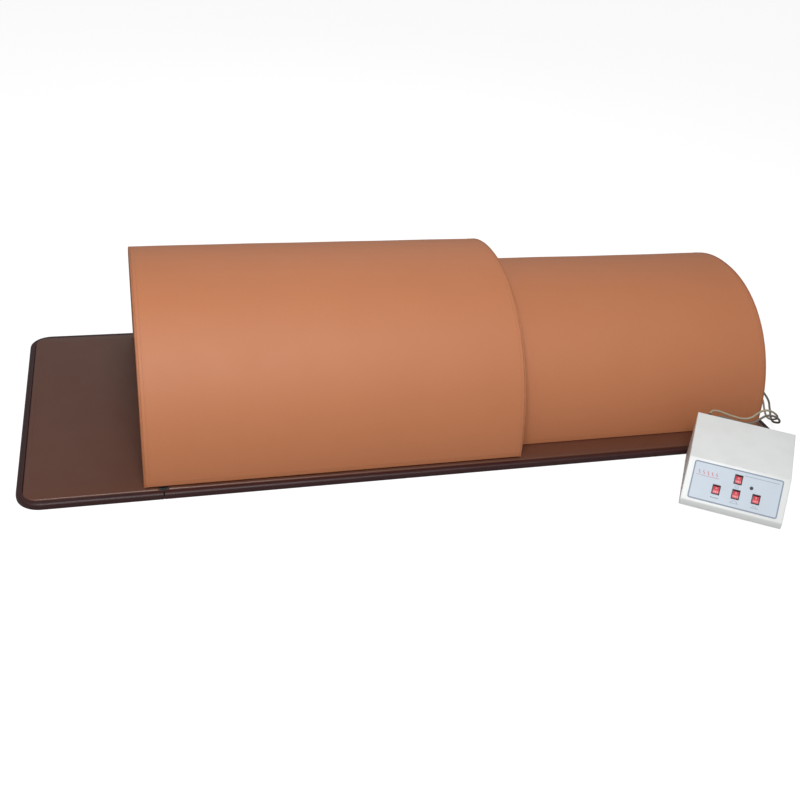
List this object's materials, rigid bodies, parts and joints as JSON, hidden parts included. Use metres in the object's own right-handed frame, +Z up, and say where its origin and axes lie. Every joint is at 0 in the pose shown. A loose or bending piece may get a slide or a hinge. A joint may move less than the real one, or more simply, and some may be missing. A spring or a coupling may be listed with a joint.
{
  "type": "two-part infrared sauna dome with mat and control box",
  "caption": "Folding heated mat with telescoping padded arched covers that slide along it, and a slant-front control box with rocker switches on a lead.",
  "frame": {"origin": "centre of the mat's underside, on the floor", "axes": "+X along the mat from the head end to the foot end, +Y to the far side away from the control box, +Z up"},
  "size_m": [2.127, 1.1331, 0.4243],
  "materials": {
    "dark_leather": "satin grained",
    "brown_leather": "satin grained",
    "tan_leather": "satin fine grained",
    "tan_binding": "satin",
    "foam": "matt",
    "aluminium": "brushed",
    "heating_film": "matt",
    "liner": "matt woven",
    "rail_wood": "sawn",
    "white_shell": "satin",
    "label": "satin",
    "black_plastic": "satin",
    "red_rocker": "gloss",
    "green_lens": "gloss",
    "circuit_board": "satin",
    "iron_core": "varnished",
    "rubber": "matt",
    "cord": "matt"
  },
  "bodies": {
    "mat": {"body_heating_film": "heating_film", "body_pad": "brown_leather", "body_tray": "dark_leather", "control_base_plate": "white_shell", "control_box_shell": "white_shell", "control_label_panel": "label", "fold_hinge_strip": "dark_leather", "foot_back_left": "rubber", "foot_back_right": "rubber", "foot_front_left": "rubber", "foot_front_right": "rubber", "head_heating_film": "heating_film", "head_pad": "brown_leather", "head_tray": "dark_leather", "large_dome_switch_bezel": "black_plastic", "mains_coil": "cord", "mains_gland": "black_plastic", "mains_lead": "cord", "mains_plug": "black_plastic", "mat_coil": "cord", "mat_inlet_box": "black_plastic", "mat_lead": "cord", "mat_lead_connector": "black_plastic", "mat_lead_gland": "black_plastic", "mat_switch_bezel": "black_plastic", "power_board": "circuit_board", "power_lamp_lens": "green_lens", "power_switch_bezel": "black_plastic", "small_dome_switch_bezel": "black_plastic", "transformer": "iron_core"},
    "large_dome": {"large_dome_binding_foot": "tan_binding", "large_dome_binding_head": "tan_binding", "large_dome_cover": "tan_leather", "large_dome_heater_foot": "heating_film", "large_dome_heater_head": "heating_film", "large_dome_hoop_foot": "aluminium", "large_dome_hoop_head": "aluminium", "large_dome_hoop_middle": "aluminium", "large_dome_inlet": "black_plastic", "large_dome_insulation": "foam", "large_dome_liner": "liner", "large_dome_rail_back": "rail_wood", "large_dome_rail_front": "rail_wood"},
    "small_dome": {"small_dome_binding_foot": "tan_binding", "small_dome_binding_head": "tan_binding", "small_dome_cover": "tan_leather", "small_dome_heater_foot": "heating_film", "small_dome_heater_head": "heating_film", "small_dome_hoop_foot": "aluminium", "small_dome_hoop_head": "aluminium", "small_dome_hoop_middle": "aluminium", "small_dome_inlet": "black_plastic", "small_dome_insulation": "foam", "small_dome_liner": "liner", "small_dome_rail_back": "rail_wood", "small_dome_rail_front": "rail_wood"},
    "large_dome_switch": {"large_dome_switch_rocker": "red_rocker"},
    "mat_switch": {"mat_switch_rocker": "red_rocker"},
    "power_switch": {"power_switch_rocker": "red_rocker"},
    "small_dome_switch": {"small_dome_switch_rocker": "red_rocker"}
  },
  "joints": [
    {"name": "large_dome_slide", "type": "slide", "parent": "mat", "child": "large_dome", "axis": [1, 0, 0], "range_m": [0, 0.72]},
    {"name": "small_dome_slide", "type": "slide", "parent": "mat", "child": "small_dome", "axis": [1, 0, 0], "range_m": [-0.71, 0]},
    {"name": "power_switch_rock", "type": "hinge", "parent": "mat", "child": "power_switch", "pos_m": [0.69945, -0.61875, 0.07452], "axis": [-0.8365, 0.548, 0], "range_deg": [0, 20]},
    {"name": "mat_switch_rock", "type": "hinge", "parent": "mat", "child": "mat_switch", "pos_m": [0.64672, -0.6153, 0.0475], "axis": [-0.8365, 0.548, 0], "range_deg": [0, 20]},
    {"name": "large_dome_switch_rock", "type": "hinge", "parent": "mat", "child": "large_dome_switch", "pos_m": [0.68603, -0.64105, 0.0475], "axis": [-0.8365, 0.548, 0], "range_deg": [0, 20]},
    {"name": "small_dome_switch_rock", "type": "hinge", "parent": "mat", "child": "small_dome_switch", "pos_m": [0.72618, -0.66736, 0.0475], "axis": [-0.8365, 0.548, 0], "range_deg": [0, 20]}
  ]
}
